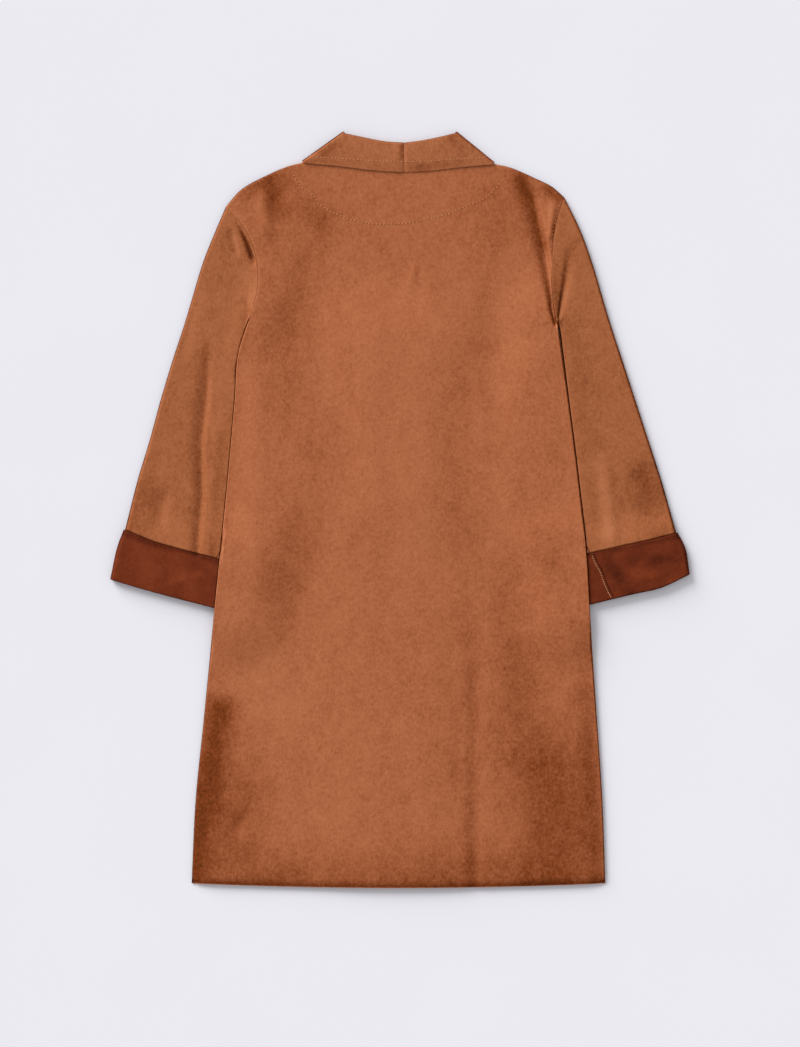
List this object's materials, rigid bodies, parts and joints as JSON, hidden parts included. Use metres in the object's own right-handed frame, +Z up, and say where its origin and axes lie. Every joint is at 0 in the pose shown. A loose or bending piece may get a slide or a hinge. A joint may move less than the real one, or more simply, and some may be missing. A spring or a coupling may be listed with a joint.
{
  "type": "single-breasted coat",
  "caption": "Knee-length suedette coat laid flat with its back up: shawl collar, one-piece back, lapped fronts, long sleeves with turned-back cuffs, buttons beneath.",
  "frame": {"origin": "centre of the footprint on the surface that the coat lies on", "axes": "+X to the wearer's right, +Y towards the collar, +Z up out of the coat's back"},
  "size_m": [0.7214, 0.9417, 0.011],
  "materials": {
    "suede": "napped suedette",
    "suede_sleeve": "napped suedette, laid against the nap",
    "suede_collar": "napped suedette",
    "reverse": "smooth bonded reverse",
    "button_resin": "satin"
  },
  "bodies": {
    "root": {"back": "suede", "front_left": "suede", "front_right": "suede", "sleeve_left": "suede_sleeve", "sleeve_right": "suede_sleeve", "cuff_left": "reverse", "cuff_right": "reverse", "collar_left": "suede_collar", "collar_right": "suede_collar", "button_1": "button_resin", "button_2": "button_resin", "button_3": "button_resin"}
  },
  "joints": []
}
